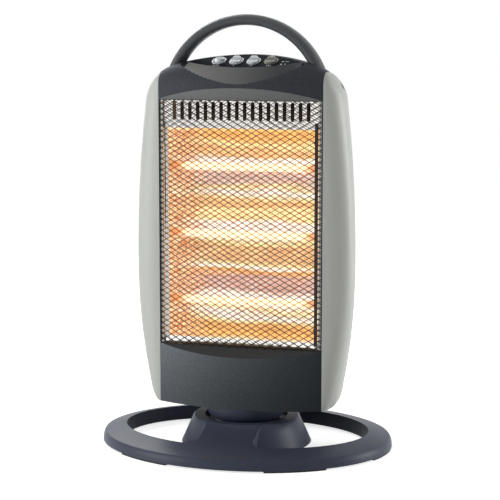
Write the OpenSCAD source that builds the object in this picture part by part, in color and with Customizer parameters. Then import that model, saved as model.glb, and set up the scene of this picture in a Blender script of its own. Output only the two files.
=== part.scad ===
// Halogen heater: three quartz lamps in a polished cavity behind a diamond guard,
// on a stand that swings the body from side to side.
// Origin on the swivel axis at floor level, front towards -Y, +Z up, sizes in mm.

/* [Body] */
// Height of the body's underside above the floor
body_bottom = 51; // [48:1:60]
// Height of the crest of the top cover
body_top = 475.5; // [465:0.5:485]
// Widest part of the body, across both side panels
body_w = 272; // [260:1:284]
// Width between the two side panels
front_w = 204; // [190:1:214]
// How far the front corners stand ahead of the swivel axis
corner_front = 29; // [24:1:34]
// How far the rear face stands behind the swivel axis
rear_y = 52; // [46:1:60]
// How far the front covers bulge ahead of their corners
cover_bulge = 21; // [14:1:26]
// Height at which the side panels are widest
widest_z = 222; // [210:1:240]
// Side curve below the widest height, as a radius
side_r_low = 700; // [600:10:900]
// Side curve above the widest height, as a radius
side_r_high = 1580; // [1400:10:1800]
// Radius of the shoulders
shoulder_r = 52; // [46:1:58]
// Radius of the arched top
arch_r = 323; // [280:1:380]
// Radius over which the front rolls back into the top, in the middle
front_roll_r = 41; // [32:1:48]
// The same at the side panels
front_roll_side = 17; // [12:1:24]
// Depth over which the top rolls down into the rear, in the middle
rear_roll_r = 20; // [12:1:28]
// The same at the side panels
rear_roll_side = 62; // [40:1:62]
// Height of the rounding along the bottom of the side panels
skirt_h = 16; // [10:0.5:20]
// Depth of that rounding
skirt_w = 6.5; // [4:0.5:9]
// How far ahead of the swivel axis the side panels are widest
widest_y = 10; // [6:1:11]
// Wall of the plastic covers and panels
wall = 2.5; // [2:0.1:3.5]
// Gap between neighbouring covers
seam = 0.3; // [0.2:0.05:0.5]

/* [Guard] */
// Lowest edge of the guard
guard_bottom = 124.5; // [118:0.5:130]
// Highest edge of the guard
guard_top = 422.5; // [415:0.5:428]
// How far the guard bulges ahead of its corners
guard_bulge = 8.5; // [4:0.5:12]
// Thickness of the guard sheet
guard_t = 1.2; // [0.8:0.1:2]
// Width of one diamond of the guard
diamond_w = 17; // [14:0.5:24]
// Height of one diamond of the guard
diamond_h = 11.5; // [9:0.5:16]
// Width of a strand between diamonds
strand_w = 1.3; // [1:0.1:2]
// Width of the plain border round the diamonds
guard_border = 3; // [2:0.5:5]

/* [Covers] */
// Rise of the chamfer over the guard for each mm that it comes forward
brow_slope = 1.2; // [0.8:0.1:1.6]
// Height of the front edge of the switch panel
panel_front_z = 461; // [458:0.5:464]
// How far ahead of the swivel axis the front edge of the switch panel lies
panel_front_y = 30; // [26:1:34]
// Slope of the switch panel, in degrees
panel_tilt = 20; // [14:1:26]
// Radius of the curved front edge of the switch panel
panel_edge_r = 149; // [130:1:170]
// How much steeper the scoop below the switch panel is, in degrees, in the middle
scoop_tilt = 25; // [16:1:30]
// Half width of the scoop, where it ends in a point
scoop_half = 71; // [60:1:80]

/* [Handle] */
// Height of the top of the handle
handle_top = 523.5; // [515:0.5:535]
// Radius of the middle of the handle's arch
handle_r = 97; // [94:0.5:97]
// Thickness of the handle at the top of the arch
handle_t = 13; // [11:0.5:16]
// Thickness of the handle at its feet
handle_foot_t = 15; // [13:0.5:16]
// Depth of the handle from front to back
handle_d = 26; // [20:1:32]
// Gap round the handle's feet where they enter the top cover
handle_gap = 0.5; // [0.3:0.1:1]

/* [Switches] */
// Distance between neighbouring switches
switch_pitch = 21.6; // [19:0.1:24]
// How far the row of switches lies to the right of the middle
switch_x = 1.9; // [0:0.1:4]
// Length of a rocker from front to back
rocker_l = 17; // [14:0.5:20]
// Width of a rocker
rocker_w = 12.5; // [10:0.5:14]
// Width of the bezel round a rocker
bezel_rim = 2; // [1.5:0.1:2.5]
// Travel of a rocker in degrees
rocker_travel = 24; // [12:1:24]
// How far behind the panel's front edge the switches sit, along the panel
switch_back = 19.5; // [17:0.5:22]

/* [Lamps] */
// Distance between lamps
lamp_pitch = 82; // [72:1:88]
// Height of the middle lamp
lamp_mid_z = 259; // [250:1:268]
// How far ahead of the swivel axis the lamps lie
lamp_y = 8; // [4:1:12]
// Diameter of a quartz tube
tube_d = 10; // [8:0.5:12]
// Wall of a quartz tube
tube_wall = 1; // [0.8:0.1:1.5]
// Diameter of a ceramic lamp cap
cap_d = 15; // [13:0.5:18]
// Diameter of the glowing coil in a tube
coil_d = 3; // [2:0.2:4]

/* [Reflector] */
// Thickness of the reflector sheet
sheet = 0.8; // [0.6:0.1:1.2]
// Depth of each trough behind a lamp
trough_depth = 12; // [8:1:16]
// How far behind the swivel axis the ridges between troughs lie
ridge_y = 10; // [6:1:14]
// How far ahead of the swivel axis the vent strip lies
vent_y = 24; // [20:1:26]
// Height of the cavity's mouth at the bottom
mouth_bottom = 133; // [130:1:138]
// Height of the cavity's mouth at the top
mouth_top = 388; // [382:1:390]
// Number of slots in the vent strip
vent_count = 18; // [10:1:19]
// Distance between vent slots
vent_pitch = 9.8; // [8:0.1:9.8]
// Width of a vent slot
vent_w = 4.6; // [3:0.1:5.4]
// Length of a vent slot
vent_l = 22.5; // [16:0.5:24]

/* [Stand] */
// Width of the stand's ring at the floor
ring_w = 362; // [340:2:380]
// Depth of the stand's ring at the floor
ring_d = 288; // [270:2:310]
// Height of the inner edge of the ring's top
ring_h = 20; // [17:0.5:24]
// Height of the ring's outer shoulder
ring_shoulder = 14; // [11:0.5:16]
// Width of the ring beside the openings, at the sides
ring_side = 28.5; // [24:0.5:34]
// Width of the ring at the front and rear
ring_front = 37; // [32:0.5:44]
// Height of the collar that the body turns in
collar_h = 35.7; // [33:0.1:38]
// Radius of the collar's rim
collar_r = 65.3; // [62:0.1:68]
// Radius of the collar's mouth
mouth_r = 51.1; // [50.2:0.1:54]
// Radius of the stand's centre at the floor
cone_r = 80; // [76:0.5:84]
// Half width of the bridge from the collar to the ring
bridge_half = 33; // [28:1:40]
// Fillet where the openings meet the bridge
opening_r = 16; // [8:1:20]
// Thickness of the rubber feet below the ring
foot_h = 2; // [1.5:0.5:4]
// Width of a rubber foot
foot_w = 10; // [8:0.5:14]

/* [Swivel drive] */
// How far the body swings to each side, in degrees
swing = 35; // [25:1:38]
// Radius of the turntable
table_r = 49; // [46:0.5:50]
// Radius of the fixed pivot post
post_r = 12; // [10:0.5:14]
// Distance from the pivot post to the motor's shaft
motor_x = 36; // [34:0.5:40]
// Diameter of the motor
motor_d = 50; // [44:1:54]
// Height of the motor
motor_h = 18; // [14:1:24]
// Radius of the crank pin
pin_r = 3; // [2.5:0.1:3.5]
// Side play of the crank pin in its slot
pin_play = 2.2; // [2:0.1:3]
// Thickness of a thrust washer
washer_t = 1.5; // [1:0.1:2]
// Running clearance of a turning bore
running = 0.1; // [0.05:0.01:0.1]

/* [Hidden] */
$fn = 64;

silver = [0.72, 0.72, 0.70];
slate = [0.27, 0.28, 0.31];
base_blue = [0.24, 0.26, 0.32];
steel = [0.62, 0.63, 0.65];
polished = [0.86, 0.86, 0.86];
brass = [0.80, 0.66, 0.36];
nylon = [0.90, 0.89, 0.84];
black = [0.10, 0.10, 0.11];
ceramic = [0.93, 0.92, 0.88];
glow = [1.00, 0.80, 0.45];

eps = 0.01;
side_half = body_w / 2;
front_half = front_w / 2;
cover_half = front_half - seam;

// Drop of a circle of radius r below its top, at a distance d from its middle
function drop(r, d) = r - sqrt(max(r * r - d * d, 0));
// Radius of an arc from its half chord and its rise
function arc_radius(half, rise) = (half * half + rise * rise) / (2 * rise);
// Point above the line ab that lies ra from a and rb from b
function meet(a, ra, b, rb) =
    let (d = norm(b - a), k = (ra * ra - rb * rb + d * d) / (2 * d), u = (b - a) / d)
    a + k * u + sqrt(ra * ra - k * k) * [u[1], -u[0]];

// ---- Front outline of the body: barrel sides, round shoulders, arched top ----
arch_mid = [0, body_top - arch_r];
upper_mid = [side_half - side_r_high, widest_z];
shoulder = meet(arch_mid, arch_r - shoulder_r, upper_mid, side_r_high - shoulder_r);
shoulder_top = arch_mid + (shoulder - arch_mid) * arch_r / (arch_r - shoulder_r);
shoulder_side = upper_mid + (shoulder - upper_mid) * side_r_high / (side_r_high - shoulder_r);

function top_z(x) = abs(x) < shoulder_top[0] ? body_top - drop(arch_r, x)
    : shoulder[1] + shoulder_r - drop(shoulder_r, abs(x) - shoulder[0]);
function half_width(z) =
    (z < widest_z ? side_half - drop(side_r_low, widest_z - z)
    : z < shoulder_side[1] ? side_half - drop(side_r_high, z - widest_z)
    : shoulder[0] + shoulder_r - drop(shoulder_r, z - shoulder[1]))
    - skirt_w / skirt_h * drop(skirt_h, max(body_bottom + skirt_h - z, 0));

// ---- Plan and side outlines ----
cover_r = arc_radius(front_half, cover_bulge);
guard_r = arc_radius(front_half, guard_bulge);
cover_mid_y = cover_r - corner_front - cover_bulge;
guard_mid_y = guard_r - corner_front - guard_bulge;
// The rolls change from the middle to the side panels. The rear one is an ellipse that
// ends above the rear cover.
function front_roll(x) = front_roll_r - (front_roll_r - front_roll_side) * pow(x / front_half, 2);
function rear_depth(x) = rear_roll_r + (rear_roll_side - rear_roll_r) * pow(x / front_half, 2);
function rear_height(x) = min(rear_depth(x), top_z(x) - guard_top - 1);
function roll_front(x, z) = drop(front_roll(x), max(z - top_z(x) + front_roll(x), 0));
function roll_rear(x, z) = let (h = rear_height(x))
    rear_depth(x) / h * drop(h, max(z - top_z(x) + h, 0));
function front_y(x) = cover_mid_y - sqrt(cover_r * cover_r - x * x);

// Closed solid from a list of rings that have equal numbers of points
module loft(rings) {
    n = len(rings);
    m = len(rings[0]);
    points = [for (ring = rings) each ring];
    sides = [for (i = [0:n - 2], j = [0:m - 1])
        let (a = i * m + j, b = i * m + (j + 1) % m)
        each [[a, b + m, b], [a, a + m, b + m]]];
    last = (n - 1) * m;
    low = [for (j = [1:m - 2]) [0, j, j + 1]];
    high = [for (j = [1:m - 2]) [last, last + j + 1, last + j]];
    polyhedron(points, concat(sides, low, high), convexity = 6);
}
module slot2(l, w) {
    square([w, l - w], center = true);
    for (s = [-1, 1]) translate([0, s * (l - w) / 2]) circle(d = w);
}
// Cylinder along +X or +Y from a start point
module rod_x(d, l) rotate([0, 90, 0]) cylinder(d = d, h = l);
module rod_y(d, l) rotate([-90, 0, 0]) cylinder(d = d, h = l);
// Round-headed screw that points along -Z, head above z = 0
module screw(d, l, head) {
    cylinder(d = head, h = head * 0.3);
    translate([0, 0, -l]) cylinder(d = d, h = l + eps);
}

// ---- Side panels: a hollow pod that is open on its flat inner side ----
panel_top = shoulder[1] + sqrt(shoulder_r * shoulder_r
    - pow(front_half + 0.4 - shoulder[0], 2));
panel_steps = 10;
plan_steps = 14;

function pod_ring(z, off) =
    let (w = half_width(z) - off,
         yf = -corner_front + roll_front(front_half, z) + off,
         yr = rear_y - roll_rear(front_half, z) - off)
    [for (i = [0:plan_steps])
        let (a = i * 180 / plan_steps - 90, y0 = -widest_y)
        [front_half + (w - front_half) * cos(a),
         a < 0 ? y0 + (y0 - yf) * sin(a) : y0 + (yr - y0) * sin(a), z]];
function pod_heights(low, high) = concat(
    [for (i = [0:3]) low + skirt_h * (1 - cos(i * 30))],
    [for (i = [1:panel_steps])
        low + skirt_h + (shoulder_side[1] - low - skirt_h) * i / panel_steps],
    [for (i = [1:panel_steps])
        shoulder_side[1] + (high - shoulder_side[1]) * sin(90 * i / panel_steps)]);
// The screw and the peg that hold a side panel, as [y, z]
panel_screw = [8, 438];
panel_peg = [8, 84];
peg_d = 6;
boss_wall = 1.5;
screw_seat = 3;
module beside(at, x) translate([front_half + x, at[0], at[1]]) children();
module pod() {
    inner_low = body_bottom + wall;
    inner_high = panel_top - 2 * wall;
    difference() {
        loft([for (z = pod_heights(body_bottom, panel_top)) pod_ring(z, 0)]);
        difference() {
            loft([for (z = pod_heights(inner_low, inner_high))
                [for (p = pod_ring(z, wall)) p[0] < front_half + eps ? p - [1, 0, 0] : p]]);
            beside(panel_screw, -2) rod_x(screw_head + 1 + 2 * boss_wall, 60);
            beside(panel_peg, -2) rod_x(peg_d + 2 * boss_wall, 60);
        }
        beside(panel_screw, -1) rod_x(screw_d + hole_play, 60);
        beside(panel_screw, screw_seat) rod_x(screw_head + 1, 60);
        translate([front_half - 10, -100, 0]) cube([10, 200, body_top]);
    }
    beside(panel_peg, -6) rod_x(peg_d, 8);
}
module side_panel_right() { color(silver) pod(); }
module side_panel_left() { color(silver) mirror([1, 0, 0]) pod(); }
module panel_screws() { color(steel) for (s = [0, 1]) mirror([s, 0, 0])
    beside(panel_screw, screw_seat) rotate([0, 90, 0]) screw(screw_d, 10, screw_head); }
// Holes that a side panel's screw and peg go through, from x
module panel_holes(x) {
    translate([x, panel_screw[0], panel_screw[1]]) rod_x(screw_d + hole_play, 6);
    translate([x, panel_peg[0], panel_peg[1]]) rod_x(peg_d + hole_play, 6);
}

// ---- Top cover: an arched hood whose front rolls back, with a cut switch panel ----
section_steps = 28;
roll_steps = 8;
top_low = guard_top;

function hood_section(x, off, low) =
    let (zt = top_z(x) - off, rf = front_roll(x) - off,
         rd = rear_depth(x) - off, rh = rear_height(x) - off,
         yf = front_y(x) + off, yr = rear_y - off,
         af = asin(max(low + 0.4 - zt + rf, 0) / rf))
    concat([[x, yf + drop(rf, max(low - zt + rf, 0)), low]],
        [for (i = [0:roll_steps]) let (a = af + (90 - af) * i / roll_steps)
            [x, yf + rf * (1 - cos(a)), zt - rf + rf * sin(a)]],
        [for (i = [0:roll_steps]) let (a = 90 - 90 * i / roll_steps)
            [x, yr - rd * (1 - cos(a)), zt - rh + rh * sin(a)]],
        [[x, yr, low]]);
module hood(half, off, low) loft([for (i = [0:section_steps])
    hood_section(half * sin(90 - 180 * i / section_steps), off, low)]);
// Space above the switch panel and above the scoop that leads down from its front edge.
// The scoop is steepest in the middle and runs out into the panel at its two points.
function scoop_angle(x) = panel_tilt
    + scoop_tilt * max(1 - pow(abs(x) / scoop_half, 1.7), 0);
function panel_section(x, off) =
    let (reach = 60, back = 100, high = body_top + reach, a = scoop_angle(x),
         d = drop(panel_edge_r, x), ye = -panel_front_y + d * cos(panel_tilt),
         ze = panel_front_z + d * sin(panel_tilt), yb = ye + back * cos(panel_tilt),
         yf = ye - reach * cos(a), lower = off / cos(panel_tilt))
    [[x, yf, ze - reach * sin(a) - off / cos(a)], [x, yf, high], [x, yb, high],
        [x, yb, ze + back * sin(panel_tilt) - lower], [x, ye, ze - lower]];
module panel_space(off) loft([for (i = [0:panel_cuts])
    panel_section(front_half - front_w * i / panel_cuts, off)]);
panel_cuts = 36;
// Space in front of a chamfer that rises from the guard's edge, side = 1 up, -1 down.
// A ledge reaches in behind the guard.
module brow_space(z, slope, side, ledge = 0) {
    reach = 40;
    translate([0, guard_mid_y, z]) rotate_extrude(angle = 40, start = 250, $fn = 720)
        polygon([[guard_r, 0], [guard_r + reach, side * reach * slope],
            [guard_r + reach, -side * 6], [guard_r - ledge, -side * 6],
            [guard_r - ledge, 0]]);
}
guard_ledge = 4;
// Places a child on the switch panel: x across, d back from the front edge, h above it
module on_panel(x, d, h) translate([0, -panel_front_y, panel_front_z])
    rotate([panel_tilt, 0, 0]) translate([x, d, h]) children();
module at_switches() for (i = [0:3])
    on_panel((i - 1.5) * switch_pitch + switch_x, switch_back, 0) children();

module top_cover() { color(slate) {
    difference() {
        hood(cover_half, 0, top_low);
        panel_space(0);
        brow_space(guard_top, brow_slope, 1);
        difference() {
            hood(cover_half - wall, wall, top_low - 1);
            panel_space(wall);
            brow_space(guard_top + wall * brow_slope, brow_slope, 1, guard_ledge);
        }
        arch(handle_gap);
        for (s = [0, 1]) mirror([s, 0, 0]) panel_holes(cover_half - wall - 1);
        at_switches() translate([0, 0, -2 * wall]) linear_extrude(4 * wall)
            slot2(rocker_l + bezel_rim - 0.4, rocker_w + bezel_rim - 0.4);
    }
} }

// ---- Handle: a tapering oval arch ----
handle_mid_z = handle_top - handle_t / 2 - handle_r;
handle_end = 19.5;
tang_end = 16;
tang_d = 9;
tang_l = 9;
handle_steps = 32;
handle_sides = 18;
function arch_ring(a, gap) =
    let (k = (90 - a) / (90 - handle_end),
         t = (handle_t + (handle_foot_t - handle_t) * k * k) / 2 + gap,
         d = handle_d / 2 + gap)
    [for (i = [0:handle_sides - 1]) let (b = i * 360 / handle_sides,
         r = handle_r + t * sign(cos(b)) * pow(abs(cos(b)), 0.8))
        [r * cos(a), d * sign(sin(b)) * pow(abs(sin(b)), 0.8), handle_mid_z + r * sin(a)]];
module arch(gap) loft([for (i = [0:handle_steps])
    arch_ring(handle_end + (180 - 2 * handle_end) * i / handle_steps, gap)]);
module at_handle_feet() for (s = [0, 1]) mirror([s, 0, 0]) handle_foot() children();
module handle() { color(slate) difference() {
    union() {
        arch(0);
        at_handle_feet() cylinder(d = tang_d, h = tang_l);
    }
    at_handle_feet() translate([0, 0, -1]) cylinder(d = screw_d + hole_play, h = 14);
} }
module handle_screws() { color(steel) at_handle_feet() translate([0, 0, -frame_t])
    mirror([0, 0, 1]) screw(screw_d, 12, screw_head); }
screw_d = 4;
screw_head = 8;
hole_play = 0.4;

// ---- Bottom cover: a bowed skirt with a floor that the turntable comes through ----
sill_slope = 0.8;
tray_z = body_bottom + wall;
tray_t = 1.5;
gland = [-70, 80];
gland_r = 7;
module bowed(off, low, high) intersection() {
    translate([0, cover_mid_y, low]) cylinder(r = cover_r - off, h = high - low, $fn = 360);
    translate([-cover_half + off, -100, low])
        cube([2 * (cover_half - off), 100 + rear_y - off, high - low]);
}
module bottom_cover() { color(slate) difference() {
    bowed(0, body_bottom, guard_bottom);
    brow_space(guard_bottom, sill_slope, -1);
    difference() {
        bowed(wall, tray_z, guard_bottom + 1);
        brow_space(guard_bottom - wall * sill_slope, sill_slope, -1, guard_ledge);
    }
    for (s = [0, 1]) mirror([s, 0, 0]) panel_holes(cover_half - wall - 1);
    translate([0, 0, body_bottom - 1]) cylinder(r = table_r + 0.5, h = wall + 2);
    translate([gland[0], rear_y - 2 * wall, gland[1]]) rod_y(2 * gland_r + 0.4, 3 * wall);
} }
module cord_gland() { color(black) translate([gland[0], rear_y - wall - 3, gland[1]])
    difference() {
        union() {
            rod_y(2 * gland_r, wall + 9);
            translate([0, wall + 3, 0]) rod_y(2 * gland_r + 5, 2);
            rod_y(2 * gland_r + 4, 2.9);
        }
        translate([0, -1, 0]) rod_y(gland_r, wall + 12);
    } }

// ---- Metal frame inside the body ----
frame_t = 1.2;
frame_out = cover_half - wall - 0.2;
frame_in = frame_out - frame_t;
frame_top = 440;
frame_front = -corner_front + 7;
frame_rear = 46;
tab_top = 450.5;
tab = [-4, 12];
corner_cut = [10, 12];
rear_t = 1;
lamp_zs = [for (i = [-1:1]) lamp_mid_z + i * lamp_pitch];
cap_hole = cap_d + 0.6;
module cap_holes(x) for (z = lamp_zs) translate([x, -lamp_y, z]) rod_x(cap_hole, 4);
module handle_foot() translate([handle_r * cos(tang_end), 0,
    handle_mid_z + handle_r * sin(tang_end)]) rotate([0, -tang_end, 0]) children();
module frame_side() difference() {
    low = tray_z + tray_t;
    union() {
        profile_x(frame_in, frame_out) polygon([[frame_front, low], [frame_rear, low],
            [frame_rear, guard_bottom + 6], [rear_y - rear_t, guard_bottom + 6],
            [rear_y - rear_t, guard_top - 6], [frame_rear, guard_top - 6],
            [frame_rear, frame_top - corner_cut[1]], [frame_rear - corner_cut[0], frame_top],
            [tab[1], frame_top], [tab[1], tab_top],
            [tab[0], tab_top], [tab[0], frame_top], [frame_front, frame_top]]);
        translate([frame_out - 13, rear_y - rear_t - frame_t, guard_bottom + 6])
            cube([13, frame_t, guard_top - guard_bottom - 12]);
        handle_foot() translate([-10, tab[0] + 1, -frame_t]) cube([15.4, 12, frame_t]);
    }
    cap_holes(frame_in - 1);
    panel_holes(frame_in - 1);
    handle_foot() translate([0, 0, -4]) cylinder(d = screw_d + hole_play, h = 8);
    for (z = rear_screw_zs) translate([rear_screw_x, rear_y - 6, z]) rod_y(3.4, 8);
}
module side_frame_right() { color(steel) frame_side(); }
module side_frame_left() { color(steel) mirror([1, 0, 0]) frame_side(); }

module floor_tray() { color(steel) difference() {
    union() {
        translate([-frame_in, frame_front, tray_z])
            cube([2 * frame_in, frame_rear - frame_front, tray_t]);
        for (s = [0, 1]) mirror([s, 0, 0])
            translate([frame_in - tray_t, frame_front, tray_z])
                cube([tray_t, frame_rear - frame_front, 14]);
    }
    translate([0, 0, tray_z - 1]) cylinder(r = post_r + 0.6, h = 4);
    at_table_screws() translate([0, 0, tray_z - 1]) cylinder(d = screw_d + hole_play, h = 4);
} }

// ---- Rear cover: sheet steel with rows of air slots ----
rear_screw_x = 91;
rear_screw_zs = [140, 407];
louvre_l = 34;
louvre_w = 4;
louvre_gap = 8;
louvre_rows = 9;
louvre_pitch = 10;
louvre_zs = [148, 316];
module rear_cover() { color(slate) difference() {
    translate([-cover_half, rear_y - rear_t, guard_bottom + seam])
        cube([2 * cover_half, rear_t, guard_top - guard_bottom - 2 * seam]);
    for (x = [-1.5:1:1.5], row = [0:louvre_rows - 1], z0 = louvre_zs)
        translate([x * (louvre_l + louvre_gap), rear_y - 3, z0 + row * louvre_pitch])
            rotate([-90, 0, 0])
            linear_extrude(6) rotate(90) slot2(louvre_l, louvre_w);
    for (s = [-1, 1], z = rear_screw_zs) translate([s * rear_screw_x, rear_y - 4, z])
        rod_y(3.4, 8);
} }
module rear_screws() { color(steel) for (s = [-1, 1], z = rear_screw_zs)
    translate([s * rear_screw_x, rear_y, z]) rotate([-90, 0, 0]) screw(3, 5, 7); }

// ---- Guard: expanded sheet, bowed forwards ----
guard_half = front_half - 0.5;
module guard() { color(black) {
    cols = floor((2 * guard_half - 2 * guard_border) / diamond_w);
    rows = floor((guard_top - guard_bottom - 2 * guard_border) / diamond_h);
    fit_w = (2 * guard_half - 2 * guard_border) / cols;
    fit_h = (guard_top - guard_bottom - 2 * guard_border) / rows;
    intersection() {
        translate([0, 0, guard_bottom]) rotate([90, 0, 0]) linear_extrude(60) difference() {
            translate([-guard_half, 0]) square([2 * guard_half, guard_top - guard_bottom]);
            for (r = [0:2 * rows - 2], c = [0:cols - 1 - r % 2])
                translate([(c + (r % 2) / 2 + 0.5 - cols / 2) * fit_w,
                    guard_border + (r + 1) * fit_h / 2])
                    polygon([[-fit_w / 2 + strand_w, 0], [0, -fit_h / 2 + strand_w * 0.7],
                        [fit_w / 2 - strand_w, 0], [0, fit_h / 2 - strand_w * 0.7]]);
        }
        translate([0, guard_mid_y, guard_bottom - 1]) difference() {
            cylinder(r = guard_r, h = guard_top - guard_bottom + 2, $fn = 720);
            translate([0, 0, -1])
                cylinder(r = guard_r - guard_t, h = guard_top - guard_bottom + 4, $fn = 720);
        }
    }
} }

// ---- Reflector and what closes its ends ----
reflector_half = frame_in - sheet;
trough_steps = 10;
function trough(z) = [for (i = [0:trough_steps - 1]) let (k = 1 - 2 * i / trough_steps)
    [ridge_y + trough_depth * (1 - k * k), z + k * lamp_pitch / 2]];
reflector_path = concat(
    [[-vent_y, guard_top - seam], [-vent_y, mouth_top]],
    trough(lamp_zs[2]), trough(lamp_zs[1]), trough(lamp_zs[0]),
    [[ridge_y, lamp_zs[0] - lamp_pitch / 2], [-vent_y, mouth_bottom],
        [-vent_y, guard_bottom + seam]]);
function shifted(path, d) = [for (i = [0:len(path) - 1])
    let (a = path[max(i - 1, 0)], b = path[min(i + 1, len(path) - 1)],
         u = (b - a) / max(norm(b - a), eps))
    path[i] + d * [-u[1], u[0]]];
// A profile drawn as [y, z], stretched from x0 to x1
module profile_x(x0, x1) translate([x0, 0, 0]) rotate([90, 0, 90])
    linear_extrude(x1 - x0) children();
module reflector() { color(polished) difference() {
    profile_x(-reflector_half, reflector_half) polygon(concat(reflector_path,
        [for (i = [len(reflector_path) - 1:-1:0]) shifted(reflector_path, sheet)[i]]));
    for (i = [0:vent_count - 1])
        translate([(i - (vent_count - 1) / 2) * vent_pitch, -vent_y + 5,
            (guard_top + mouth_top) / 2 + 3.5])
            rotate([90, 0, 0]) linear_extrude(10) slot2(vent_l, vent_w);
} }
module end_plate() difference() {
    translate([reflector_half, -vent_y, guard_bottom + 1])
        cube([sheet, vent_y + ridge_y + trough_depth + 3, guard_top - guard_bottom - 2]);
    cap_holes(reflector_half - 1);
}
module reflector_end_right() { color(polished) end_plate(); }
module reflector_end_left() { color(polished) mirror([1, 0, 0]) end_plate(); }
rail_x = 93.5;
rail_w = 4;
rail_t = 2.5;
knob_zs = [149, 373];
knob_d = 5;
// Where the inside of the guard is above the rails
guard_in = sqrt(pow(guard_r - guard_t, 2) - pow(rail_x + knob_d / 2, 2)) - guard_mid_y - 0.03;
module guard_rods() { color(steel) for (s = [-1, 1]) {
    translate([s * rail_x - rail_w / 2, -vent_y - rail_t, mouth_bottom - 4])
        cube([rail_w, rail_t, mouth_top - mouth_bottom + 12]);
    for (z = knob_zs) translate([s * rail_x, -guard_in, z])
        rod_y(knob_d, guard_in - vent_y - rail_t + eps);
} }
module heat_shield() { color(steel) {
    shield_y = ridge_y + trough_depth + 7;
    translate([-frame_in, shield_y, mouth_bottom])
        cube([2 * frame_in, frame_t, mouth_top - mouth_bottom + 20]);
    for (s = [0, 1]) mirror([s, 0, 0]) translate([frame_in - frame_t, shield_y, mouth_bottom])
        cube([frame_t, 12, mouth_top - mouth_bottom + 20]);
} }

// ---- Lamps ----
cap_in = reflector_half - 6;
cap_l = 18;
tube_half = cap_in + 4;
support_pitch = 28;
module lamp_tubes() { color(glow) for (z = lamp_zs) translate([-tube_half, -lamp_y, z])
    difference() {
        rod_x(tube_d, 2 * tube_half);
        translate([-1, 0, 0]) rod_x(tube_d - 2 * tube_wall, 2 * tube_half + 2);
    } }
module lamp_coils() { color("orange") for (z = lamp_zs) translate([0, -lamp_y, z]) {
    translate([-tube_half + 4, 0, 0]) rod_x(coil_d, 2 * tube_half - 8);
    translate([-tube_half - 1, 0, 0]) rod_x(1, 2 * tube_half + 2);
    for (i = [-3:3]) translate([i * support_pitch - 0.3, 0, 0])
        rod_x(tube_d - 2 * tube_wall - 0.2, 0.6);
} }
module lamp_caps() { color(ceramic) for (s = [0, 1], z = lamp_zs) mirror([s, 0, 0])
    translate([cap_in, -lamp_y, z]) difference() {
        rod_x(cap_d, cap_l);
        translate([-1, 0, 0]) rod_x(tube_d + 0.2, 6);
    } }
module lamp_clips() { color(steel) for (s = [0, 1], z = lamp_zs) mirror([s, 0, 0])
    translate([frame_out, -lamp_y, z]) difference() {
        translate([0, -11, -11]) cube([1, 22, 22]);
        translate([-1, 0, 0]) rod_x(cap_d + 0.1, 3);
        translate([-1, -cap_hole / 2 + 2, 0]) cube([3, cap_hole - 4, 12]);
    } }
module thermal_cutout() { color(black)
    translate([40, ridge_y + trough_depth + 7 + frame_t, 390]) {
        rod_y(16, 6);
        translate([-12, 0, -4]) cube([24, 1.5, 8]);
    } }
module terminal_block() { color(nylon) translate([-55, 30, tray_z + tray_t])
    difference() {
        translate([-18, -8, 0]) cube([36, 16, 14]);
        for (i = [-1:1]) translate([i * 11, 0, 6]) {
            cylinder(d = 6, h = 9);
            translate([0, -9, 0]) rod_y(4, 18);
        }
    } }

// ---- Swivel: post, washers, turntable ----
bowl_z = 30;
table_low = bowl_z + washer_t;
arm_z = tray_z + tray_t + 0.3 + washer_t;
arm_t = 2.5;
stub_r = 8;
nut_h = 5;
post_flange_r = 26;
module pivot_post() { color(steel) {
    translate([0, 0, bowl_z - wall - 3]) difference() {
        cylinder(r = post_flange_r, h = 3);
        at_angles(3, 19) translate([0, 0, -1]) cylinder(d = 4.4, h = 5);
    }
    translate([0, 0, bowl_z - wall - eps]) cylinder(r = post_r, h = arm_z - bowl_z + wall);
    cylinder_from(arm_z - 1, arm_z + arm_t + nut_h + 1, stub_r);
} }
module cylinder_from(low, high, r) translate([0, 0, low]) cylinder(r = r, h = high - low);
module at_angles(n, r, first = 90) for (i = [0:n - 1])
    rotate(first + i * 360 / n) translate([r, 0, 0]) children();
module ring_from(low, high, r_out, r_in) difference() {
    cylinder_from(low, high, r_out);
    cylinder_from(low - 1, high + 1, r_in);
}
module post_screws() { color(steel) at_angles(3, 19)
    translate([0, 0, bowl_z - wall - 3]) mirror([0, 0, 1]) screw(4, 5.4, 7); }
module thrust_washer() { color(nylon) ring_from(bowl_z, bowl_z + washer_t, 40, 28); }
module top_washer() { color(nylon)
    ring_from(arm_z - washer_t, arm_z, 22, post_r + running); }
module arm_nut() { color(steel) difference() {
    translate([0, 0, arm_z + arm_t]) cylinder(r = 11, h = nut_h, $fn = 6);
    cylinder_from(arm_z, arm_z + arm_t + nut_h + 1, stub_r + running);
} }
crank_r = motor_x * sin(swing);
slot_near = motor_x - crank_r - pin_r - 0.5;
slot_far = motor_x + crank_r + pin_r + 0.5;
arm_half = pin_r + pin_play + 4;
module swing_arm() { color(steel) difference() {
    translate([0, 0, arm_z]) linear_extrude(arm_t) {
        circle(r = 16);
        hull() for (x = [0, slot_far + 4 - arm_half]) translate([x, 0]) circle(r = arm_half);
    }
    cylinder_from(arm_z - 1, arm_z + 4, stub_r + running);
    translate([slot_near, -(pin_r + pin_play), arm_z - 1])
        cube([slot_far - slot_near, 2 * (pin_r + pin_play), arm_t + 2]);
} }
crank_z = arm_z + arm_t + 1;
crank_t = 3;
shaft_r = 2.5;
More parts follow.
